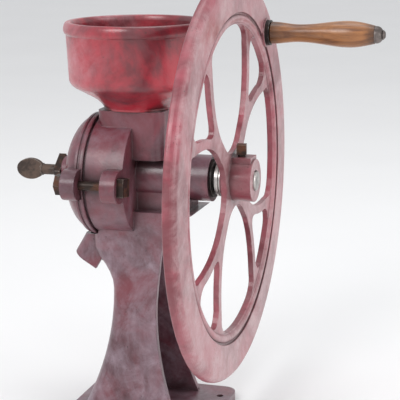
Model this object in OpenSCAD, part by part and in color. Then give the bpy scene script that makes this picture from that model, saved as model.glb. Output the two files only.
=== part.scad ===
// Cast iron coffee grinder: a hopper on a round grinding drum, a hollow pedestal open behind,
// and a flywheel with a turning wooden grip.
// The shaft lies along X, with the front cover and the adjusting screw on the -X side and the
// flywheel on the +X side. The origin is on the table top, under the axis of the hopper.

/* [Flywheel] */
// Outer diameter of the flywheel
wheel_d = 400; // [390:5:410]
// Diameter inside the ring, where the spokes start
wheel_open_d = 304; // [300:2:308]
// Thickness of the ring along the shaft
ring_t = 12; // [11:0.5:13]
// Distance from the hopper's axis to the ring's front face
wheel_x = 103; // [102:1:106]
// Half width of a spoke's stem, near the hub
stem_half_w = 8.5; // [7:0.5:9.5]
// Angle of the handle's spoke from straight up, towards +Y
wheel_phase = 39; // [0:1:89]
// Diameter of the hub
hub_d = 42; // [40:1:44]

/* [Shaft] */
// Height of the shaft above the table
shaft_h = 250; // [248:1:260]
// Diameter of the shaft
shaft_d = 20; // [18:0.5:20]
// Radial running clearance of the shaft in its bushes
running_gap = 0.05; // [0.02:0.01:0.1]

/* [Grinding drum] */
// Outer diameter of the drum
drum_d = 120; // [118:1:122]
// Length of the drum along the shaft
drum_len = 39; // [38:1:40]
// Wall of the drum
drum_wall = 6; // [5:0.5:7]
// How far the front cover bulges
cover_depth = 30; // [28:1:32]
// Distance from the shaft to each cover bolt
bolt_y = 66; // [66:0.5:69]
// Diameter of the burrs
burr_d = 92; // [86:2:94]
// Gap between the burrs
burr_gap = 1.2; // [1.2:0.1:2]

/* [Hopper] */
// Outer diameter of the hopper's rim
hopper_d = 144; // [136:2:150]
// Height of the hopper from the neck to the rim
hopper_h = 86; // [80:2:96]
// Wall of the hopper
hopper_wall = 5; // [4:0.5:6]

/* [Pedestal] */
// Wall of the pedestal
pedestal_wall = 6; // [5:0.5:7]
// Half width of the pedestal under the drum
pedestal_top_w = 30; // [28:1:32]
// Half width of the pedestal at the base plate
pedestal_foot_w = 44; // [40:1:48]
// Length of the base plate
base_len = 153; // [150:1:160]
// Width of the base plate
base_w = 116; // [112:2:124]
// Thickness of the base plate
base_t = 10; // [8:1:12]
// Diameter of the four fixing holes
base_hole_d = 7; // [6:0.5:9]
// Distance between the fixing holes along the base
base_hole_x = 129; // [120:1:132]
// Distance between the fixing holes across the base
base_hole_y = 60; // [50:2:70]

/* [Handle] */
// Length of the wooden grip
grip_len = 108; // [100:2:120]
// Largest diameter of the grip
grip_d = 27; // [25:0.5:30]
// Distance from the shaft to the handle
handle_r = 172; // [170:1:176]
// Diameter of the grip's spindle
spindle_d = 8; // [7:0.5:9]

/* [Hidden] */
$fn = 96;

// Small clearances between pieces
slip = 0.05;
thread_gap = 0.1;
over = 1;

// Places along the shaft
drum_x1 = 3.5;
drum_x0 = drum_x1 - drum_len;
chamber_x1 = -11;
throat_x0 = -6;
throat_x1 = 22;
bush_x0 = 24;
tube_x1 = 78;
flange_t = 2.5;
collar_x0 = tube_x1 + flange_t + 2;
ring_x0 = wheel_x - ring_t;
hub_x0 = ring_x0 - 2;
hub_x1 = wheel_x + 17.5;
shaft_x0 = drum_x0 - 15;
shaft_x1 = hub_x1 + 2;

// Heights
neck_top = shaft_h + 68;
rim_top = neck_top + hopper_h;

// Radii
shaft_r = shaft_d / 2;
drum_r = drum_d / 2;
chamber_r = drum_r - drum_wall;
tube_r = 23;
bush_r = 13;
worm_bore_r = 17.5;
worm_r = 16.5;
burr_r = burr_d / 2;
burr_bore_r = 20;
burr_t = 8;
throat_r = 20;
spigot_r = 24;
spigot_h = 4;
neck_half_x = 34;
neck_half_y = pedestal_top_w;
neck_corner = 11;

// Turns a flat shape, drawn with Y to the right and Z up about the shaft, to face along +X
module facing_x(x) {
    translate([x, 0, shaft_h]) rotate([90, 0, 90]) children();
}

module rod_x(r, x0, x1) {
    facing_x(x0) cylinder(r = r, h = x1 - x0);
}

module block(x0, x1, y0, y1, z0, z1) {
    translate([x0, y0, z0]) cube([x1 - x0, y1 - y0, z1 - z0]);
}

module rounded_rect(w, h, r) {
    square([w - 2 * r, h], center = true);
    square([w, h - 2 * r], center = true);
    for (sx = [-1, 1], sy = [-1, 1]) {
        translate([sx * (w / 2 - r), sy * (h / 2 - r)]) circle(r);
    }
}

function arc_points(cx, cy, r, a0, a1, n) =
    [for (i = [0 : n]) let (a = a0 + (a1 - a0) * i / n) [cx + r * cos(a), cy + r * sin(a)]];

// A curve from a to c that is drawn towards b
function bend_points(a, b, c, n) =
    [for (i = [0 : n]) let (t = i / n) (1 - t) * (1 - t) * a + 2 * t * (1 - t) * b + t * t * c];

function polar(r, a) = [r * sin(a), r * cos(a)];

function mirrored(points) = [for (i = [len(points) - 1 : -1 : 0]) [-points[i][0], points[i][1]]];

// Pedestal: outlines of a shell that narrows to a waist, lofted from the foot to the shoulder
waist_x0 = -23.5;
waist_x1 = 26;
foot_spread_x0 = 30.5;
foot_spread_x1 = 22;
shoulder_z = shaft_h - 32;
chin_z = shaft_h - 112;
chin_h = 32;
chin_spread = 16.5;
chin_max = 19.5;
bracket_z = shaft_h - 60;
bracket_spread = 26;
pedestal_z0 = 4;
plan_corner = 16;
loft_steps = 26;
ceiling = 12;

function ease(t, p) = pow(max(0, min(1, t)), p);

function ped_x0(z) =
    waist_x0 - foot_spread_x0 * ease((shaft_h - 120 - z) / 120, 2)
    - min(chin_max, chin_spread * pow(max(0, (z - chin_z) / chin_h), 1.6));

function ped_x1(z) =
    waist_x1 + foot_spread_x1 * ease((shaft_h - 132 - z) / 108, 2)
    + 9 * pow(max(0, (z - shaft_h + 132) / 80), 1.5)
    + bracket_spread * ease((z - bracket_z) / (shoulder_z - bracket_z), 2);

function ped_w(z) = pedestal_top_w + (pedestal_foot_w - pedestal_top_w) * ease((170 - z) / 160, 1.5);

// One outline at height z, drawn inwards by t and lengthened by e on the open side
function ped_outline(z, t, e) =
    let (x0 = ped_x0(z) + t, x1 = ped_x1(z) + e, w = ped_w(z) - t, c = plan_corner - t)
    concat(
        [[x1, -w, z]],
        [for (p = arc_points(x0 + c, -w + c, c, 270, 180, 8)) [p[0], p[1], z]],
        [for (p = arc_points(x0 + c, w - c, c, 180, 90, 8)) [p[0], p[1], z]],
        [[x1, w, z]]
    );

module pedestal_loft(z0, z1, t, e) {
    count = len(ped_outline(z0, t, e));
    points = [for (i = [0 : loft_steps]) each ped_outline(z0 + (z1 - z0) * i / loft_steps, t, e)];
    sides = [
        for (i = [0 : loft_steps - 1], j = [0 : count - 1])
            let (a = i * count + j, b = i * count + (j + 1) % count)
                each [[a, b, b + count], [a, b + count, a + count]]
    ];
    bottom = [[for (j = [count - 1 : -1 : 0]) j]];
    top = [[for (j = [0 : count - 1]) loft_steps * count + j]];
    polyhedron(points = points, faces = concat(sides, bottom, top), convexity = 6);
}

// Base plate with four fixing holes
base_mid_x = 9.5;
base_corner = 14;

module base_plate() {
    translate([base_mid_x, 0, 0]) linear_extrude(base_t) rounded_rect(base_len, base_w, base_corner);
}

module base_holes() {
    for (sx = [-1, 1], sy = [-1, 1]) {
        translate([base_mid_x + sx * base_hole_x / 2, sy * base_hole_y / 2, -over])
            cylinder(d = base_hole_d, h = base_t + 2 * over);
    }
}

// Ears that carry the two cover bolts
ear_r = 16;
cover_ear_r = 15;
bolt_r = 4.5;
body_ear_x0 = -12;
body_ear_x1 = drum_x1;
cover_ear_x0 = drum_x0 - 18;
cover_ear_x1 = drum_x0 - 3;

module ear_pair(r, x0, x1, reach) {
    facing_x(x0) linear_extrude(x1 - x0) {
        for (s = [-1, 1]) {
            translate([s * bolt_y, 0]) circle(r);
            translate([s * (bolt_y + reach) / 2, 0]) square([bolt_y - reach, 2 * r], center = true);
        }
    }
}

module bolt_holes(x0, x1) {
    for (s = [-1, 1]) {
        translate([0, s * bolt_y, 0]) rod_x(bolt_r + slip, x0, x1);
    }
}

// Spout: a hood over a sloping channel that leads down from the grinding chamber
spout_angle = 31;
spout_tip = [-57, 0, 160];
spout_len = 52;
spout_r = 15;
spout_wall = 4;
cover_clear_r = drum_r + 3.3;

module spout_frame() {
    translate(spout_tip) rotate([0, spout_angle, 0]) children();
}

module spout_hood() {
    spout_frame() {
        cylinder(r = spout_r, h = spout_len);
        block(0, spout_r, -spout_r, spout_r, 0, spout_len);
    }
}

module spout_channel() {
    inner_r = spout_r - spout_wall;
    spout_frame() translate([0, 0, -over]) {
        cylinder(r = inner_r, h = spout_len);
        block(0, spout_r + 6, -inner_r, inner_r, 0, 16);
    }
    translate([drum_x0 + 8, 0, spout_tip[2] + 22]) cylinder(r = 7.5, h = 20);
}

// The space that the front cover takes up ahead of the drum
module cover_space() {
    rod_x(cover_clear_r, drum_x0 - 90, drum_x0);
}

burr_screw_r = 2.5;
burr_screw_circle = 39;
burr_screw_depth = 5;
burr_screw_angles = [60, 180, 300];
hopper_screw_x = 27.5;
hopper_screw_r = 2;
hopper_screw_head_z = neck_top + 4;
hopper_screw_len = 14;

module body_casting() {
    color([0.45, 0.13, 0.17])
    difference() {
        union() {
            base_plate();
            difference() {
                union() {
                    pedestal_loft(pedestal_z0, shoulder_z, 0, 0);
                    spout_hood();
                }
                cover_space();
            }
            block(-20, 56, -18, 18, shoulder_z - 6, shaft_h - 8);
            rod_x(drum_r, drum_x0, drum_x1);
            rod_x(tube_r, 0, tube_x1);
            translate([0, 0, shaft_h + 20]) linear_extrude(neck_top - shaft_h - 20)
                rounded_rect(2 * neck_half_x, 2 * neck_half_y, neck_corner);
            ear_pair(ear_r, body_ear_x0, body_ear_x1, 40);
        }
        pedestal_loft(base_t, shoulder_z - ceiling, pedestal_wall, 60);
        rod_x(chamber_r, drum_x0 - over, chamber_x1);
        rod_x(worm_bore_r, chamber_x1 - over, bush_x0);
        rod_x(bush_r, bush_x0 - over, tube_x1 + over);
        block(throat_x0, throat_x1, -15, 15, shaft_h, neck_top - 6);
        translate([0, 0, neck_top - 8]) cylinder(r = throat_r, h = 8 + over);
        translate([0, 0, neck_top - spigot_h]) cylinder(r = spigot_r + slip, h = spigot_h + over);
        for (s = [-1, 1]) {
            translate([s * hopper_screw_x, 0, hopper_screw_head_z - hopper_screw_len - over])
                cylinder(r = hopper_screw_r + slip, h = hopper_screw_len + 2 * over);
        }
        for (a = burr_screw_angles) {
            translate([0, burr_screw_circle * sin(a), burr_screw_circle * cos(a)])
                rod_x(burr_screw_r + slip, chamber_x1 - over, chamber_x1 + burr_screw_depth + over);
        }
        bolt_holes(body_ear_x0 - over, body_ear_x1 + over);
        spout_channel();
        base_holes();
    }
}

// Hopper: straight wall with a rounded bead at the mouth, on a cone that sits in the neck
wall_foot_z = neck_top + 27;
bead_h = 12.5;
hopper_r = hopper_d / 2;

module hopper() {
    wall_r = hopper_r - 4.5;
    mouth_r = wall_r - hopper_wall + 1;
    lip_z = rim_top - bead_h;
    outside = concat(
        [[throat_r, neck_top - spigot_h], [spigot_r, neck_top - spigot_h], [spigot_r, neck_top]],
        [[neck_half_x, neck_top], [neck_half_x, neck_top + 2]],
        bend_points([neck_half_x + 1.5, neck_top + 4], [40, neck_top + 10], [50, neck_top + 15], 6),
        bend_points([60, neck_top + 20.5], [wall_r, neck_top + 24], [wall_r + 0.4, wall_foot_z + 3], 6),
        [[wall_r + 2.3, lip_z]],
        bend_points([wall_r + 3, lip_z + 0.8], [hopper_r + 0.8, lip_z + 2.5], [hopper_r, lip_z + 7], 6),
        bend_points([hopper_r - 0.3, lip_z + 8.5], [hopper_r - 1.5, rim_top], [hopper_r - 4, rim_top], 6)
    );
    inside = concat(
        bend_points([mouth_r + 2, rim_top - 0.3], [mouth_r + 0.6, rim_top - 1], [mouth_r, rim_top - 5], 5),
        [[mouth_r - 2, wall_foot_z + 6]],
        bend_points([mouth_r - 3, wall_foot_z + 2], [mouth_r - 6, wall_foot_z - 3], [46, neck_top + 17], 6),
        [[throat_r, neck_top + 4.5]]
    );
    color([0.68, 0.07, 0.13])
    difference() {
        rotate_extrude() polygon(concat(outside, inside));
        for (s = [-1, 1]) {
            translate([s * hopper_screw_x, 0, neck_top - over])
                cylinder(r = hopper_screw_r + slip, h = 20);
            translate([s * hopper_screw_x, 0, hopper_screw_head_z])
                cylinder(r = 4.2, h = 20);
        }
    }
}

module hopper_screws() {
    color([0.3, 0.28, 0.27])
    for (s = [-1, 1]) {
        translate([s * hopper_screw_x, 0, hopper_screw_head_z]) {
            translate([0, 0, -hopper_screw_len]) cylinder(r = hopper_screw_r, h = hopper_screw_len + 1);
            difference() {
                cylinder(r = 4, h = 2.4);
                translate([0, 0, 2]) cube([9, 1.1, 2], center = true);
            }
        }
    }
}

// Front cover: a dome with a bead, two ears and a threaded boss in the middle
screw_r = 5.4;
cover_edge_x = drum_x0 - 6;
cover_wall = 4.5;
boss_r = 15;
boss_x0 = drum_x0 - 44.5;
boss_x1 = drum_x0 - 23;

function dome(r, reach, depth) = [r, cover_edge_x - depth * sqrt(1 - (r / reach) * (r / reach))];

module front_cover() {
    inner_r = chamber_r - 4;
    flange_r = drum_r + 2.3;
    seat_r = drum_r - 1.5;
    depth_in = cover_depth - cover_wall;
    dome_steps = 20;
    outside = concat(
        [[screw_r + thread_gap, boss_x0], [boss_r - 1.2, boss_x0], [boss_r, boss_x0 + 1.2]],
        [for (i = [0 : dome_steps])
            let (a = asin(boss_r / drum_r) + (80 - asin(boss_r / drum_r)) * i / dome_steps)
                dome(drum_r * sin(a), drum_r, cover_depth)],
        [[drum_r + 0.6, cover_edge_x - 5.4], [drum_r + 1.1, cover_edge_x - 4.6]],
        [[drum_r + 1.1, cover_edge_x - 2.6], [drum_r + 0.2, cover_edge_x - 1.8]],
        [[drum_r + 0.2, cover_edge_x - 0.4], [flange_r - 0.6, cover_edge_x]],
        [[flange_r, cover_edge_x + 0.6], [flange_r, cover_edge_x + 3.4], [flange_r - 0.6, cover_edge_x + 4]],
        [[seat_r, cover_edge_x + 4], [seat_r, drum_x0], [chamber_r - 0.2, drum_x0]],
        [[chamber_r - 0.2, drum_x0 + 3], [inner_r, drum_x0 + 3]]
    );
    inside = concat(
        [for (i = [0 : dome_steps])
            let (a = 90 - (90 - asin(12 / inner_r)) * i / dome_steps) dome(inner_r * sin(a), inner_r, depth_in)],
        [[12, boss_x1], [screw_r + thread_gap, boss_x1]]
    );
    color([0.5, 0.27, 0.28])
    difference() {
        union() {
            facing_x(0) rotate_extrude() polygon(concat(outside, inside));
            difference() {
                ear_pair(cover_ear_r, cover_ear_x0, cover_ear_x1, 36);
                rod_x(inner_r + 1, cover_edge_x - 14, cover_ear_x1 + over);
                facing_x(0) rotate_extrude() polygon(concat([[0, boss_x0]], [for (i = [0 : dome_steps])
                    let (a = 90 * i / dome_steps) dome((inner_r + 2) * sin(a), inner_r + 2, depth_in + 2)]));
            }
        }
        bolt_holes(cover_ear_x0 - over, cover_ear_x1 + over);
    }
}

nut_t = 8;
nut_af = 19;
bolt_head_af = 18;
bolt_head_t = 6.5;

module cover_bolts() {
    color([0.28, 0.22, 0.18])
    for (s = [-1, 1]) {
        translate([0, s * bolt_y, 0]) {
            rod_x(bolt_r, cover_ear_x0 - nut_t - 2.5, body_ear_x1 + over);
            translate([body_ear_x1, 0, shaft_h]) rotate([8 * s, 0, 0])
                translate([bolt_head_t / 2, 0, 0])
                    cube([bolt_head_t, bolt_head_af, bolt_head_af], center = true);
        }
    }
}

module cover_nuts() {
    color([0.3, 0.25, 0.22])
    for (s = [-1, 1]) {
        translate([0, s * bolt_y, 0]) difference() {
            facing_x(cover_ear_x0 - nut_t) cylinder(r = nut_af / 2 / cos(30), h = nut_t, $fn = 6);
            rod_x(bolt_r + slip, cover_ear_x0 - nut_t - over, cover_ear_x0 + over);
        }
    }
}

lock_nut_t = 7.5;
lock_nut_af = 24;

module lock_nut() {
    color([0.24, 0.2, 0.18])
    difference() {
        facing_x(boss_x0 - lock_nut_t) rotate([0, 0, 38]) linear_extrude(lock_nut_t)
            square(lock_nut_af, center = true);
        rod_x(screw_r + thread_gap, boss_x0 - lock_nut_t - over, boss_x0 + over);
    }
}

// Adjusting screw: threaded shank with a flat oval blade for the fingers
screw_x1 = shaft_x0 - 4;
blade_x1 = screw_x1 - 50.5;
blade_len = 29.5;
blade_h = 21.5;
blade_t = 5;

module adjusting_screw() {
    blade_mid = blade_x1 - blade_len / 2 + 1;
    color([0.27, 0.25, 0.24]) {
        rod_x(screw_r, blade_x1 - 2, screw_x1 - 1.5);
        facing_x(screw_x1 - 1.5) cylinder(r1 = screw_r, r2 = 3.9, h = 1.5);
        rod_x(3, screw_x1 - over, screw_x1 + 1.5);
        facing_x(blade_x1 - 4) cylinder(r1 = 3.2, r2 = screw_r + 0.8, h = 4);
        translate([blade_mid, 0, shaft_h]) rotate([90, 0, 0]) translate([0, 0, -blade_t / 2])
            linear_extrude(blade_t)
                polygon([for (i = [0 : 47]) let (a = i * 7.5)
                    [blade_len / 2 * cos(a), blade_h / 2 * sin(a)]]);
    }
}

// Pad between the screw's tip and the shaft's end
module thrust_pad() {
    color([0.62, 0.5, 0.28])
    difference() {
        rod_x(8, screw_x1, shaft_x0);
        rod_x(3 + thread_gap, screw_x1 - over, screw_x1 + 1.6);
    }
}

// Burrs: two toothed rings that face each other
tooth_count = 24;
groove_w = 3;
groove_depth = 1.6;

module burr_grooves(face_x) {
    for (i = [0 : tooth_count - 1]) {
        facing_x(face_x - groove_depth) rotate([0, 0, i * 360 / tooth_count])
            translate([burr_bore_r + 4, -2, 0])
                rotate([0, 0, -14]) cube([burr_r, groove_w, 2 * groove_depth]);
    }
}

module fixed_burr() {
    face_x = chamber_x1 - burr_t;
    color([0.5, 0.5, 0.52])
    difference() {
        rod_x(burr_r, face_x, chamber_x1);
        rod_x(burr_bore_r, face_x - over, chamber_x1 + over);
        burr_grooves(face_x);
        for (a = burr_screw_angles) {
            translate([0, burr_screw_circle * sin(a), burr_screw_circle * cos(a)]) {
                rod_x(burr_screw_r + slip, face_x - over, chamber_x1 + over);
                rod_x(4.6, face_x - over, face_x + 4.5);
            }
        }
    }
}

module fixed_burr_screws() {
    face_x = chamber_x1 - burr_t;
    color([0.4, 0.4, 0.42])
    for (a = burr_screw_angles) {
        translate([0, burr_screw_circle * sin(a), burr_screw_circle * cos(a)]) {
            rod_x(burr_screw_r, face_x + 3, chamber_x1 + burr_screw_depth);
            rod_x(4.5, face_x + 2, face_x + 4.5);
        }
    }
}

rotor_x1 = chamber_x1 - burr_t - burr_gap;
rotor_x0 = rotor_x1 - burr_t;
rotor_hub_r = 17;
rotor_hub_len = 10;
drive_pin_r = 2.5;

module rotating_burr() {
    color([0.5, 0.5, 0.52])
    difference() {
        union() {
            rod_x(burr_r, rotor_x0, rotor_x1);
            rod_x(rotor_hub_r, rotor_x0 - rotor_hub_len, rotor_x1 - 2);
        }
        rod_x(shaft_r + slip, rotor_x0 - rotor_hub_len - over, rotor_x1 + over);
        burr_grooves(rotor_x1);
        translate([rotor_x0 - rotor_hub_len / 2, 0, shaft_h])
            cylinder(r = drive_pin_r + slip, h = 3 * rotor_hub_r, center = true);
    }
}

module burr_drive_pin() {
    color([0.55, 0.55, 0.57])
    translate([rotor_x0 - rotor_hub_len / 2, 0, shaft_h])
        cylinder(r = drive_pin_r, h = 2 * rotor_hub_r, center = true);
}

// Feed worm: a sleeve with one screw flight that carries the beans to the burrs
worm_x0 = -9.5;
worm_x1 = 22;
worm_core_r = 12.8;
worm_turns = 1.25;
worm_pin_r = 1.8;
worm_pin_x = 17;

module feed_worm() {
    color([0.42, 0.4, 0.39])
    difference() {
        union() {
            rod_x(worm_core_r, worm_x0, worm_x1);
            facing_x(worm_x0)
                linear_extrude(worm_x1 - worm_x0, twist = -360 * worm_turns, slices = 30, segments = 8)
                polygon(concat(arc_points(0, 0, worm_r, -28, 28, 3), arc_points(0, 0, 11.5, 24, -24, 2)));
        }
        rod_x(shaft_r + slip, worm_x0 - over, worm_x1 + over);
        translate([worm_pin_x, 0, shaft_h])
            cylinder(r = worm_pin_r + slip, h = 4 * worm_r, center = true);
    }
}

module worm_pin() {
    color([0.55, 0.55, 0.57])
    translate([worm_pin_x, 0, shaft_h]) cylinder(r = worm_pin_r, h = 2 * worm_core_r, center = true);
}

module bush(x0, x1) {
    difference() {
        rod_x(bush_r - slip / 2, x0, x1);
        rod_x(shaft_r + running_gap, x0 - over, x1 + over);
    }
}

module inner_bush() {
    color([0.66, 0.5, 0.26]) bush(bush_x0 + 0.5, bush_x0 + 16);
}

module outer_bush() {
    color([0.2, 0.17, 0.16]) {
        bush(tube_x1 - 20, tube_x1);
        difference() {
            rod_x(19, tube_x1, tube_x1 + flange_t);
            rod_x(shaft_r + running_gap, tube_x1 - over, tube_x1 + flange_t + over);
        }
    }
}

// Main shaft with a turned nose, holes for its pins and a chamfer at the hub end
set_screw_x = wheel_x + 3.5;
set_screw_r = 3.8;
flat_depth = 1;

module shaft() {
    color([0.55, 0.54, 0.53])
    difference() {
        union() {
            facing_x(shaft_x0) cylinder(r1 = shaft_r - 3, r2 = shaft_r - 1.5, h = 1.5);
            rod_x(shaft_r - 1.5, shaft_x0 + 1.5, shaft_x0 + 5);
            rod_x(shaft_r, shaft_x0 + 5, shaft_x1 - 1);
            facing_x(shaft_x1 - 1) cylinder(r1 = shaft_r, r2 = shaft_r - 1, h = 1);
        }
        translate([rotor_x0 - rotor_hub_len / 2, 0, shaft_h])
            cylinder(r = drive_pin_r + slip, h = 3 * shaft_r, center = true);
        translate([worm_pin_x, 0, shaft_h])
            cylinder(r = worm_pin_r + slip, h = 3 * shaft_r, center = true);
        block(set_screw_x - 6, shaft_x1 + over, -shaft_r, shaft_r,
            shaft_h + shaft_r - flat_depth, shaft_h + shaft_r + over);
    }
}

module thrust_collar() {
    color([0.5, 0.49, 0.48])
    difference() {
        union() {
            rod_x(16, collar_x0, hub_x0);
            rod_x(17.5, collar_x0 + 1.5, collar_x0 + 4);
        }
        rod_x(shaft_r + slip, collar_x0 - over, hub_x0 + over);
    }
}

// Flywheel: a broad ring, four forked spokes and a hub with a flat boss for the set screw
open_r = wheel_open_d / 2;
wheel_r = wheel_d / 2;
step_r = open_r + 11;
spoke_x0 = ring_x0 + 2.5;
spoke_t = 5.5;
branch_w = 9;
fork_w = 60;
hub_fillet = 38;
joint_overlap = 0.6;

// Half width of a forked spoke at distance w from the shaft, measured to its outer edge
function spoke_edge(w) = stem_half_w + 42 * pow(max(0, (w - fork_w) / 75), 1.9);

function branch_slope(w) = 42 * 1.9 / 75 * pow(max(0, (w - fork_w) / 75), 0.9);

function branch_inner(w) = spoke_edge(w) - branch_w * sqrt(1 + branch_slope(w) * branch_slope(w));

// Half of the large opening between two forked spokes, in a frame whose +Y axis is its middle
function leaf_half() =
    let (
        centre = (stem_half_w + hub_fillet) * sqrt(2),
        edge = [for (i = [0 : 9])
            let (w = fork_w + (130 - fork_w) * i / 9, s = spoke_edge(w))
                [(w - s) / sqrt(2), (w + s) / sqrt(2)]],
        last = edge[9],
        corner = polar(open_r + 1, 25),
        start = polar(open_r + joint_overlap, 15)
    )
    concat(
        arc_points(0, centre, hub_fillet, 270, 315, 6),
        edge,
        bend_points(last, corner, start, 6),
        [for (i = [1 : 3]) polar(open_r + joint_overlap, 15 - 5 * i)]
    );

module leaf_opening() {
    half = leaf_half();
    polygon(concat(half, mirrored([for (i = [1 : len(half) - 2]) half[i]])));
}

// Half of the small opening inside a fork, in a frame whose +Y axis is the spoke's middle
function drop_half() =
    let (
        low = 100,
        high = 128,
        edge = [for (i = [0 : 5]) let (w = low + (high - low) * i / 5) [branch_inner(w), w]]
    )
    concat(
        bend_points([0, 89], [6, 90], edge[0], 5),
        [for (i = [1 : 5]) edge[i]],
        bend_points(edge[5], polar(open_r + 1, 15), polar(open_r + joint_overlap, 7), 6),
        [polar(open_r + joint_overlap, 0)]
    );

module drop_opening() {
    half = drop_half();
    polygon(concat(half, mirrored([for (i = [1 : len(half) - 2]) half[i]])));
}

module flywheel() {
    round_r = 8.5;
    web_x = wheel_x - 2.7;
    ring_profile = concat(
        [[open_r, spoke_x0], [open_r, web_x - 1], [open_r + 1, web_x]],
        arc_points(open_r + 5.2, web_x - 2.4, 4.6, 150, 30, 8),
        [[step_r - 0.6, web_x], [step_r, web_x + 0.6], [step_r, wheel_x - 0.4], [step_r + 0.4, wheel_x]],
        arc_points(wheel_r - round_r, wheel_x - round_r, round_r, 90, 0, 8),
        arc_points(wheel_r - 2, ring_x0 + 2, 2, 0, -90, 4),
        [[step_r + 2, ring_x0], [step_r, spoke_x0]]
    );
    color([0.62, 0.4, 0.43])
    difference() {
        union() {
            facing_x(0) rotate_extrude($fn = 180) polygon(ring_profile);
            facing_x(spoke_x0) linear_extrude(spoke_t) rotate([0, 0, -wheel_phase]) difference() {
                circle(open_r + 3, $fn = 180);
                for (i = [0 : 3]) {
                    rotate([0, 0, 45 + 90 * i]) leaf_opening();
                    rotate([0, 0, 90 * i]) drop_opening();
                }
            }
            rod_x(hub_d / 2 - 2, hub_x0, spoke_x0 + 1);
            rod_x(hub_d / 2, spoke_x0, hub_x1);
            block(spoke_x0, hub_x1 - 2, -11, 11, shaft_h, shaft_h + hub_d / 2 + 2.5);
            handle_place() rod_x(15, spoke_x0 + 4, wheel_x + 1.5);
        }
        rod_x(shaft_r + slip, hub_x0 - over, hub_x1 + over);
        translate([set_screw_x, 0, shaft_h]) cylinder(r = set_screw_r + slip, h = hub_d);
        handle_place() rod_x(spindle_d / 2 + slip, ring_x0 - over, wheel_x + 3);
    }
}

module hub_set_screw() {
    head = 9.6;
    top = shaft_h + hub_d / 2 + 2.5;
    color([0.25, 0.18, 0.14])
    translate([set_screw_x, 0, 0]) {
        translate([0, 0, shaft_h + shaft_r - flat_depth])
            cylinder(r = set_screw_r, h = top + 4 - shaft_h - shaft_r);
        translate([0, 0, top + 7]) rotate([0, 0, 12]) cube([head, head, 10], center = true);
    }
}

// Handle: a spindle riveted in the ring, with a turned wooden grip that spins on it
module handle_place() {
    translate([0, handle_r * sin(wheel_phase), handle_r * cos(wheel_phase)]) children();
}

grip_x0 = wheel_x + 6;
grip_x1 = grip_x0 + grip_len;
cap_len = 8;
spindle_r = spindle_d / 2;
grip_gap = 0.1;

module grip_spindle() {
    color([0.4, 0.38, 0.37])
    handle_place() {
        rod_x(spindle_r, ring_x0 - over, grip_x1 + cap_len + over);
        facing_x(ring_x0 - 2.5) cylinder(r1 = spindle_r, r2 = spindle_r + 2.5, h = 2.5);
        facing_x(grip_x1 + cap_len + 0.4) cylinder(r1 = spindle_r + 1.2, r2 = spindle_r - 1, h = 2);
    }
}

module grip_collar() {
    color([0.22, 0.19, 0.18])
    handle_place() difference() {
        union() {
            rod_x(13, wheel_x + 1.5, grip_x0 - 0.4);
            rod_x(11.5, wheel_x + 1.5, grip_x0 - 0.3);
        }
        rod_x(spindle_r + slip, wheel_x, grip_x0 + over);
    }
}

// Radius of the grip at fraction t of its length, from the collar to the cap
function grip_radius(t) =
    let (waist = grip_d * 0.335, belly = grip_d / 2, ends = grip_d * 0.42)
    t < 0.27
        ? waist + (ends - waist) * (0.5 + 0.5 * cos(180 * t / 0.27))
        : t < 0.75
            ? belly - (belly - waist) * (0.5 + 0.5 * cos(180 * (t - 0.27) / 0.48))
            : 9.3 + (belly - 9.3) * cos(90 * (t - 0.75) / 0.25);

module wood_grip() {
    steps = 36;
    profile = concat(
        [[spindle_r + grip_gap, grip_x0], [grip_radius(0) - 1, grip_x0]],
        [for (i = [0 : steps]) [grip_radius(i / steps), grip_x0 + 0.8 + (grip_len - 1) * i / steps]],
        [[8.2, grip_x1], [spindle_r + grip_gap, grip_x1]]
    );
    color([0.62, 0.36, 0.14])
    handle_place() facing_x(0) rotate_extrude() polygon(profile);
}

module grip_end_cap() {
    profile = concat(
        [[spindle_r + grip_gap, grip_x1], [8.8, grip_x1], [8.8, grip_x1 + 2]],
        arc_points(2.6, grip_x1 + 1.8, 6.2, 0, 70, 7),
        [[spindle_r + grip_gap, grip_x1 + cap_len]]
    );
    color([0.36, 0.34, 0.33])
    handle_place() facing_x(0) rotate_extrude() polygon(profile);
}

body_casting();
hopper();
hopper_screws();
front_cover();
cover_bolts();
cover_nuts();
lock_nut();
fixed_burr();
fixed_burr_screws();
inner_bush();
outer_bush();
thrust_pad();
adjusting_screw();
shaft();
rotating_burr();
burr_drive_pin();
feed_worm();
worm_pin();
thrust_collar();
flywheel();
hub_set_screw();
grip_spindle();
grip_collar();
wood_grip();
grip_end_cap();
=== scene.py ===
"""Looks of the cast iron coffee grinder: camera, light, floor and the finish of every piece."""

import math

import bpy
from mathutils import Matrix, Vector


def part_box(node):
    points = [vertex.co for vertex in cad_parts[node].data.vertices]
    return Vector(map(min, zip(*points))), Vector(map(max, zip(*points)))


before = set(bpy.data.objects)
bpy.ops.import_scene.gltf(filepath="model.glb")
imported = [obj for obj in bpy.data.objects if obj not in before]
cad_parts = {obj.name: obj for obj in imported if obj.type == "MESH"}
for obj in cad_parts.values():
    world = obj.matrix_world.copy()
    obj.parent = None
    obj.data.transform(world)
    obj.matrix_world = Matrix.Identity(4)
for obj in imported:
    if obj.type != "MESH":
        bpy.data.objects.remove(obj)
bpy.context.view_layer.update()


# Camera: the photograph's viewing angle
CAMERA_AT = Vector((0.44496, -1.2237, 0.5194))
CAMERA_AZIMUTH = math.radians(17.32)
CAMERA_ELEVATION = math.radians(12.85)
CAMERA_ROLL = math.radians(-0.54)
CAMERA_LENS = 118.8


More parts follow.
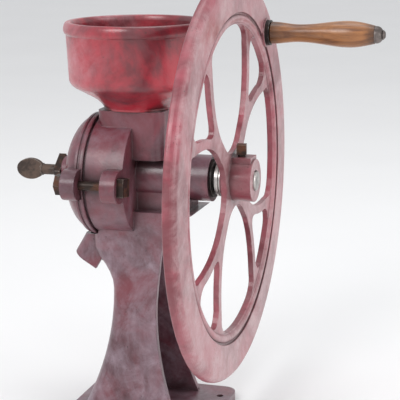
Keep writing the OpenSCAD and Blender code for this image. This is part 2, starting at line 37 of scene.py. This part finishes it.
def make_camera():
    azimuth, elevation = CAMERA_AZIMUTH, CAMERA_ELEVATION
    back = Vector((
        math.sin(azimuth) * math.cos(elevation),
        -math.cos(azimuth) * math.cos(elevation),
        math.sin(elevation),
    ))
    level = Vector((math.cos(azimuth), math.sin(azimuth), 0))
    upright = back.cross(level)
    right = level * math.cos(CAMERA_ROLL) + upright * math.sin(CAMERA_ROLL)
    up = back.cross(right)
    turn = Matrix((right, up, back)).transposed().to_4x4()
    data = bpy.data.cameras.new("camera")
    data.lens = CAMERA_LENS
    camera = bpy.data.objects.new("camera", data)
    camera.matrix_world = Matrix.Translation(CAMERA_AT) @ turn
    bpy.context.scene.collection.objects.link(camera)
    bpy.context.scene.camera = camera


make_camera()


class Net:
    """A material's node network, with short calls for the nodes that the finishes use."""

    def __init__(self, name):
        self.material = bpy.data.materials.new(name)
        self.material.use_nodes = True
        self.tree = self.material.node_tree
        self.tree.nodes.clear()
        self.shader = self.add("ShaderNodeBsdfPrincipled")
        output = self.add("ShaderNodeOutputMaterial")
        self.tree.links.new(self.shader.outputs[0], output.inputs[0])
        self.place = self.add("ShaderNodeTexCoord").outputs["Object"]

    def add(self, kind, **settings):
        node = self.tree.nodes.new(kind)
        for key, value in settings.items():
            setattr(node, key, value)
        return node

    def feed(self, socket, value):
        """Links another node's output to a socket, or sets the socket to a plain value."""
        if isinstance(value, bpy.types.NodeSocket):
            self.tree.links.new(value, socket)
        elif isinstance(value, tuple) and socket.type == "RGBA":
            socket.default_value = (*value, 1)
        else:
            socket.default_value = value

    def set(self, **values):
        for key, value in values.items():
            self.feed(self.shader.inputs[key.replace("_", " ")], value)

    def noise(self, scale, detail, rough, warp=0.0, place=None):
        node = self.add("ShaderNodeTexNoise")
        self.feed(node.inputs["Vector"], place or self.place)
        self.feed(node.inputs["Scale"], scale)
        self.feed(node.inputs["Detail"], detail)
        self.feed(node.inputs["Roughness"], rough)
        self.feed(node.inputs["Distortion"], warp)
        return node.outputs["Fac"]

    def cells(self, scale):
        node = self.add("ShaderNodeTexVoronoi")
        self.feed(node.inputs["Vector"], self.place)
        self.feed(node.inputs["Scale"], scale)
        return node.outputs["Distance"]

    def span(self, value, low, high, start=0.0, end=1.0):
        """Goes smoothly from start to end as the value goes from low to high."""
        node = self.add("ShaderNodeMapRange", interpolation_type="SMOOTHSTEP")
        self.feed(node.inputs["Value"], value)
        self.feed(node.inputs["From Min"], low)
        self.feed(node.inputs["From Max"], high)
        self.feed(node.inputs["To Min"], start)
        self.feed(node.inputs["To Max"], end)
        return node.outputs["Result"]

    def math(self, operation, a, b):
        """A sum whose result is kept between 0 and 1."""
        node = self.add("ShaderNodeMath", operation=operation, use_clamp=True)
        self.feed(node.inputs[0], a)
        self.feed(node.inputs[1], b)
        return node.outputs[0]

    def plus(self, a, b):
        return self.math("ADD", a, b)

    def times(self, a, b):
        return self.math("MULTIPLY", a, b)

    def mix(self, amount, a, b):
        node = self.add("ShaderNodeMix", data_type="RGBA")
        self.feed(node.inputs[0], amount)
        self.feed(node.inputs[6], a)
        self.feed(node.inputs[7], b)
        return node.outputs[2]

    def axis(self, name, vector=None):
        node = self.add("ShaderNodeSeparateXYZ")
        self.feed(node.inputs[0], vector or self.place)
        return node.outputs[name]

    def facing(self, name):
        """How far a face looks along the axis of that name: 1 along it, -1 against it."""
        return self.axis(name, self.add("ShaderNodeNewGeometry").outputs["Normal"])

    def stretch(self, scale):
        node = self.add("ShaderNodeMapping")
        self.feed(node.inputs["Vector"], self.place)
        node.inputs["Scale"].default_value = scale
        return node.outputs[0]

    def rounded(self, radius):
        bevel = self.add("ShaderNodeBevel", samples=6)
        self.feed(bevel.inputs["Radius"], radius)
        return bevel.outputs[0]

    def edges(self, width):
        """1 on sharp edges, 0 on plain faces."""
        plain = self.add("ShaderNodeNewGeometry")
        dot = self.add("ShaderNodeVectorMath", operation="DOT_PRODUCT")
        self.feed(dot.inputs[0], self.rounded(width))
        self.feed(dot.inputs[1], plain.outputs["Normal"])
        return self.span(dot.outputs["Value"], 0.98, 0.84)

    def hollows(self, distance):
        """1 in corners and hollows, 0 on open faces."""
        node = self.add("ShaderNodeAmbientOcclusion", samples=6)
        self.feed(node.inputs["Distance"], distance)
        return self.span(node.outputs["AO"], 0.95, 0.35)

    def bump(self, height, depth, edge_r):
        node = self.add("ShaderNodeBump")
        self.feed(node.inputs["Height"], height)
        self.feed(node.inputs["Distance"], depth)
        self.feed(node.inputs["Strength"], 1.0)
        self.feed(node.inputs["Normal"], self.rounded(edge_r))
        self.feed(self.shader.inputs["Normal"], node.outputs[0])


# Depths, edge radii and mark widths of the finishes, in metres
CAST_DEPTH = 0.0012
CAST_EDGE_R = 0.0015
CHIP_WIDTH = 0.0022
# How far the painted shade in the enamel's hollows reaches
ENAMEL_SHADE_REACH = 0.02
IRON_DEPTH = 0.0005
IRON_EDGE_R = 0.0008
RUBBED_WIDTH = 0.0012
# How far the painted shade in the iron's hollows reaches
IRON_SHADE_REACH = 0.008
TURNING_DEPTH = 0.00008
TURNED_EDGE_R = 0.0005
GRAIN_DEPTH = 0.00035
GRIP_EDGE_R = 0.0006

# Where the pale veil of dust and painted sheen starts and where it is full, in metres
HOPPER_SHEEN_X = (0.01, -0.062)
BODY_PALE_Z = (0.26, 0.14)

# Grime on the wooden grip: from its full strength near an end to its last trace, in metres
NEAR_GRIME = (0.002, 0.016)
FAR_GRIME = (0.001, 0.012)

DUST_AND_SHEEN_MAX = 0.85
GRIP_LOW, GRIP_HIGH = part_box("wood_grip")

CRIMSON = (0.4, 0.008, 0.024)
DEEP_RED = (0.11, 0.006, 0.013)
# Pale colour of dust and painted sheen on the hopper
HOPPER_DUST_AND_SHEEN = (0.5, 0.22, 0.25)
BODY_DEEP = (0.07, 0.014, 0.022)
BODY_RED = (0.17, 0.022, 0.036)
# Pale colour of dust and painted sheen on the body
BODY_DUST_AND_SHEEN = (0.3, 0.22, 0.26)
WHEEL_DEEP = (0.16, 0.016, 0.028)
WHEEL_RED = (0.34, 0.06, 0.085)
# Pale colour of dust and painted light on the wheel
WHEEL_DUST_AND_SHEEN = (0.5, 0.34, 0.35)
# Dark colour of bare iron, also used as painted shade in hollows
OLD_IRON_AND_SHADE = (0.022, 0.013, 0.012)
DARK_GRAIN = (0.11, 0.035, 0.012)
LIGHT_GRAIN = (0.34, 0.135, 0.04)
WORN_WOOD = (0.42, 0.19, 0.07)
PORE = (0.03, 0.012, 0.006)
HAND_GRIME = (0.04, 0.018, 0.01)


def cast_surface(net):
    """Bumps of a sand casting: broad waves, orange peel and small pits. Returns where the pits are."""
    waves = net.noise(scale=38, detail=3, rough=0.5)
    peel = net.noise(scale=420, detail=4, rough=0.6)
    pits = net.span(net.cells(scale=330), 0.24, 0.0)
    pit_zone = net.span(net.noise(scale=30, detail=3, rough=0.6, warp=0.4), 0.52, 0.66)
    deep = net.times(pits, pit_zone)
    height = net.plus(net.times(waves, 0.55), net.times(peel, 0.16))
    height = net.math("SUBTRACT", height, net.times(deep, 0.22))
    net.bump(height, CAST_DEPTH, CAST_EDGE_R)
    return deep


def enamel(name, deep, mid, dust_and_sheen, dust_and_sheen_zone, coat=0.35):
    """Old enamel on cast iron: two reds, a pale veil of dust and painted sheen, painted shade in hollows
    and chipped edges.
    """
    net = Net(name)
    pits = cast_surface(net)
    blotch = net.span(net.noise(scale=16, detail=6, rough=0.62, warp=0.6), 0.38, 0.62)
    colour = net.mix(blotch, deep, mid)

    cloud = net.span(net.noise(scale=34, detail=6, rough=0.68, warp=0.8), 0.35, 0.7)
    scuff = net.span(net.noise(scale=9, detail=7, rough=0.7, warp=1.2), 0.36, 0.62)
    fine = net.span(net.noise(scale=120, detail=5, rough=0.65, warp=0.3), 0.35, 0.68)
    # Pale dust, with painted sheen where the zone follows the light
    dust_sheen_amount = net.times(dust_and_sheen_zone(net), net.plus(net.times(cloud, 0.55), net.times(scuff, 0.5)))
    dust_sheen_amount = net.math("MINIMUM", net.times(dust_sheen_amount, net.span(fine, 0, 1, 0.75, 1.0)), DUST_AND_SHEEN_MAX)
    colour = net.mix(dust_sheen_amount, colour, dust_and_sheen)

    # Painted shade: corners and hollows darken towards the colour of bare iron
    colour = net.mix(net.times(net.hollows(ENAMEL_SHADE_REACH), 0.75), colour, OLD_IRON_AND_SHADE)
    speck = net.span(net.noise(scale=260, detail=3, rough=0.7), 0.66, 0.74)
    colour = net.mix(net.times(speck, 0.7), colour, OLD_IRON_AND_SHADE)
    chip_zone = net.span(net.noise(scale=70, detail=5, rough=0.7), 0.47, 0.75)
    chips = net.times(net.edges(CHIP_WIDTH), chip_zone)
    colour = net.mix(net.times(chips, 0.8), colour, dust_and_sheen)
    colour = net.mix(pits, colour, OLD_IRON_AND_SHADE)

    net.set(Base_Color=colour, Coat_Weight=coat, Coat_Roughness=0.22, IOR=1.5)
    net.set(Roughness=net.span(cloud, 0, 1, 0.3, 0.55))
    return net.material


def hopper_dust_and_sheen(net):
    """Pale veil of dust with painted sheen, strongest on the side that faces -X, the lit side."""
    side = net.span(net.axis("X"), *HOPPER_SHEEN_X)
    return net.plus(net.times(side, 0.75), 0.14)


def body_dust_and_sheen(net):
    """Pale veil of dust and painted sheen: paler down the pedestal, with painted light on faces that
    look up.
    """
    low = net.span(net.axis("Z"), *BODY_PALE_Z)
    up = net.span(net.facing("Z"), 0.1, 0.8)
    return net.plus(net.times(low, 0.75), net.plus(net.times(up, 0.35), 0.3))


def wheel_dust_and_sheen(net):
    """Pale veil of dust and painted light, strongest on the broad front face of the ring, which faces
    the light.
    """
    front = net.span(net.facing("X"), 0.2, 0.95)
    return net.plus(net.times(front, 0.75), 0.25)


def iron(name, dark, rust, shine, rough=0.5, rust_low=0.45):
    """Bare iron: dark skin with rust bloom, rubbed, shining edges and painted shade in hollows."""
    net = Net(name)
    patch = net.span(net.noise(scale=70, detail=6, rough=0.65, warp=0.5), rust_low, rust_low + 0.2)
    colour = net.mix(patch, dark, rust)
    rub_zone = net.span(net.noise(scale=160, detail=4, rough=0.7), 0.35, 0.65)
    colour = net.mix(net.times(net.edges(RUBBED_WIDTH), rub_zone), colour, shine)
    # Painted shade: the iron darkens to its dark skin colour in corners and hollows
    colour = net.mix(net.times(net.hollows(IRON_SHADE_REACH), 0.8), colour, dark)
    net.set(Base_Color=colour, Metallic=0.55)
    net.set(Roughness=net.span(patch, 0, 1, rough - 0.12, rough + 0.2))

    lumps = net.noise(scale=180, detail=4, rough=0.6)
    grain = net.noise(scale=600, detail=4, rough=0.6)
    net.bump(net.plus(net.times(lumps, 0.6), net.times(grain, 0.25)), IRON_DEPTH, IRON_EDGE_R)
    return net.material


def turned_metal(name, colour, rough=0.32):
    """Metal with fine turning marks round the shaft's direction."""
    net = Net(name)
    marks = net.noise(scale=900, detail=2, rough=0.5, place=net.stretch((1, 0.02, 0.02)))
    stain = net.span(net.noise(scale=60, detail=5, rough=0.65), 0.45, 0.7)
    tint = net.mix(stain, colour, tuple(0.55 * channel for channel in colour))
    net.set(Base_Color=tint, Metallic=0.9, Roughness=net.span(stain, 0, 1, rough, rough + 0.2))
    net.bump(marks, TURNING_DEPTH, TURNED_EDGE_R)
    return net.material


def varnished_wood(name):
    """Turned hardwood: long grain along X, dark streaks, worn varnish and grime at both ends."""
    net = Net(name)
    wave = net.noise(scale=1, detail=6, rough=0.62, warp=0.7, place=net.stretch((9, 130, 130)))
    fine = net.noise(scale=1, detail=3, rough=0.6, place=net.stretch((30, 900, 900)))
    broad = net.span(net.noise(scale=26, detail=4, rough=0.6, warp=0.5), 0.35, 0.68)
    colour = net.mix(net.span(wave, 0.34, 0.66), DARK_GRAIN, LIGHT_GRAIN)
    colour = net.mix(net.times(broad, 0.45), colour, WORN_WOOD)
    colour = net.mix(net.times(net.span(fine, 0.6, 0.72), 0.55), colour, PORE)

    x = net.axis("X")
    near = net.span(x, GRIP_LOW.x + NEAR_GRIME[1], GRIP_LOW.x + NEAR_GRIME[0])
    far = net.span(x, GRIP_HIGH.x - FAR_GRIME[1], GRIP_HIGH.x - FAR_GRIME[0])
    colour = net.mix(net.times(net.plus(near, far), 0.6), colour, HAND_GRIME)
    net.set(Base_Color=colour, Roughness=net.span(broad, 0, 1, 0.5, 0.28))
    net.set(Coat_Weight=0.35, Coat_Roughness=0.2)
    net.bump(net.times(wave, 0.5), GRAIN_DEPTH, GRIP_EDGE_R)
    return net.material


HOPPER = enamel("hopper_enamel", DEEP_RED, CRIMSON, HOPPER_DUST_AND_SHEEN, hopper_dust_and_sheen, coat=0.6)
BODY = enamel("body_enamel", BODY_DEEP, BODY_RED, BODY_DUST_AND_SHEEN, body_dust_and_sheen)
WHEEL = enamel("wheel_enamel", WHEEL_DEEP, WHEEL_RED, WHEEL_DUST_AND_SHEEN, wheel_dust_and_sheen)
RUSTY = iron("rusty_iron", (0.03, 0.018, 0.014), (0.13, 0.055, 0.032), (0.4, 0.34, 0.3))
BLACK = iron("black_iron", (0.018, 0.014, 0.013), (0.06, 0.035, 0.026), (0.3, 0.26, 0.24), rust_low=0.55)
KNOB = iron("knob_iron", (0.05, 0.036, 0.03), (0.14, 0.095, 0.075), (0.42, 0.37, 0.33), rust_low=0.4)
BURR = iron("burr_iron", (0.12, 0.11, 0.1), (0.2, 0.15, 0.11), (0.5, 0.48, 0.45), rough=0.4)
STEEL = turned_metal("bright_steel", (0.5, 0.47, 0.45))
DARK_STEEL = turned_metal("dark_steel", (0.2, 0.17, 0.16), rough=0.4)
BRASS = turned_metal("bush_brass", (0.5, 0.34, 0.13))
WOOD = varnished_wood("grip_wood")

FINISH = {
    "body_casting": BODY,
    "front_cover": BODY,
    "hopper": HOPPER,
    "flywheel": WHEEL,
    "hopper_screws": DARK_STEEL,
    "cover_bolts": RUSTY,
    "cover_nuts": RUSTY,
    "lock_nut": RUSTY,
    "hub_set_screw": RUSTY,
    "fixed_burr": BURR,
    "rotating_burr": BURR,
    "feed_worm": BURR,
    "fixed_burr_screws": DARK_STEEL,
    "inner_bush": BRASS,
    "thrust_pad": BRASS,
    "outer_bush": BLACK,
    "adjusting_screw": KNOB,
    "grip_collar": BLACK,
    "shaft": STEEL,
    "burr_drive_pin": STEEL,
    "worm_pin": STEEL,
    "thrust_collar": STEEL,
    "grip_spindle": DARK_STEEL,
    "grip_end_cap": DARK_STEEL,
    "wood_grip": WOOD,
}


def dress_nodes():
    for name, finish in FINISH.items():
        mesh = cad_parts[name].data
        mesh.materials.clear()
        mesh.materials.append(finish)


dress_nodes()


# Floor: its side, and how far it lies under the object, in metres
FLOOR_SIZE = 12.0
FLOOR_DROP = 0.0002
FLOOR_DARK = (0.86, 0.86, 0.86)
FLOOR_LIGHT = (0.9, 0.9, 0.9)

# Sky: its light on the object, and the white that the camera sees
SKY_COLOUR = (0.97, 0.98, 1.0, 1)
SKY_STRENGTH = 0.75
WHITE = (1, 1, 1, 1)

# Lamps: name, place in metres, diameter in metres and power in watts
LAMPS = [
    ("key", (-0.6, -1.9, 1.7), 1.2, 22),
    ("right", (2.1, -0.5, 1.0), 1.4, 16),
    ("top", (0.1, 0.3, 2.2), 1.2, 10),
]
AIM = Vector((0.05, 0, 0.24))


def make_floor():
    half = FLOOR_SIZE / 2
    corners = [(-half, -half, 0), (half, -half, 0), (half, half, 0), (-half, half, 0)]
    mesh = bpy.data.meshes.new("floor")
    mesh.from_pydata(corners, [], [(0, 1, 2, 3)])
    floor = bpy.data.objects.new("floor", mesh)
    floor.location.z = -FLOOR_DROP
    bpy.context.scene.collection.objects.link(floor)
    net = Net("floor_paint")
    mottle = net.noise(scale=3, detail=3, rough=0.5)
    net.set(Base_Color=net.mix(mottle, FLOOR_DARK, FLOOR_LIGHT), Roughness=0.9)
    mesh.materials.append(net.material)


def make_sky():
    """Soft light from all round, which the camera sees as plain white."""
    world = bpy.data.worlds.new("studio")
    bpy.context.scene.world = world
    world.use_nodes = True
    tree = world.node_tree
    tree.nodes.clear()
    light = tree.nodes.new("ShaderNodeBackground")
    light.inputs["Color"].default_value = SKY_COLOUR
    light.inputs["Strength"].default_value = SKY_STRENGTH
    white = tree.nodes.new("ShaderNodeBackground")
    white.inputs["Color"].default_value = WHITE
    path = tree.nodes.new("ShaderNodeLightPath")
    either = tree.nodes.new("ShaderNodeMath")
    either.operation = "MAXIMUM"
    tree.links.new(path.outputs["Is Camera Ray"], either.inputs[0])
    tree.links.new(path.outputs["Is Transmission Ray"], either.inputs[1])
    choose = tree.nodes.new("ShaderNodeMixShader")
    tree.links.new(either.outputs[0], choose.inputs[0])
    tree.links.new(light.outputs[0], choose.inputs[1])
    tree.links.new(white.outputs[0], choose.inputs[2])
    output = tree.nodes.new("ShaderNodeOutputWorld")
    tree.links.new(choose.outputs[0], output.inputs[0])


def make_lamp(name, place, size, watts):
    data = bpy.data.lights.new(name, "AREA")
    data.shape = "DISK"
    data.size = size
    data.energy = watts
    lamp = bpy.data.objects.new(name, data)
    lamp.location = place
    lamp.rotation_euler = (AIM - Vector(place)).to_track_quat("-Z", "Y").to_euler()
    bpy.context.scene.collection.objects.link(lamp)


make_floor()
make_sky()
for lamp in LAMPS:
    make_lamp(*lamp)

bpy.context.scene.view_settings.view_transform = "Standard"
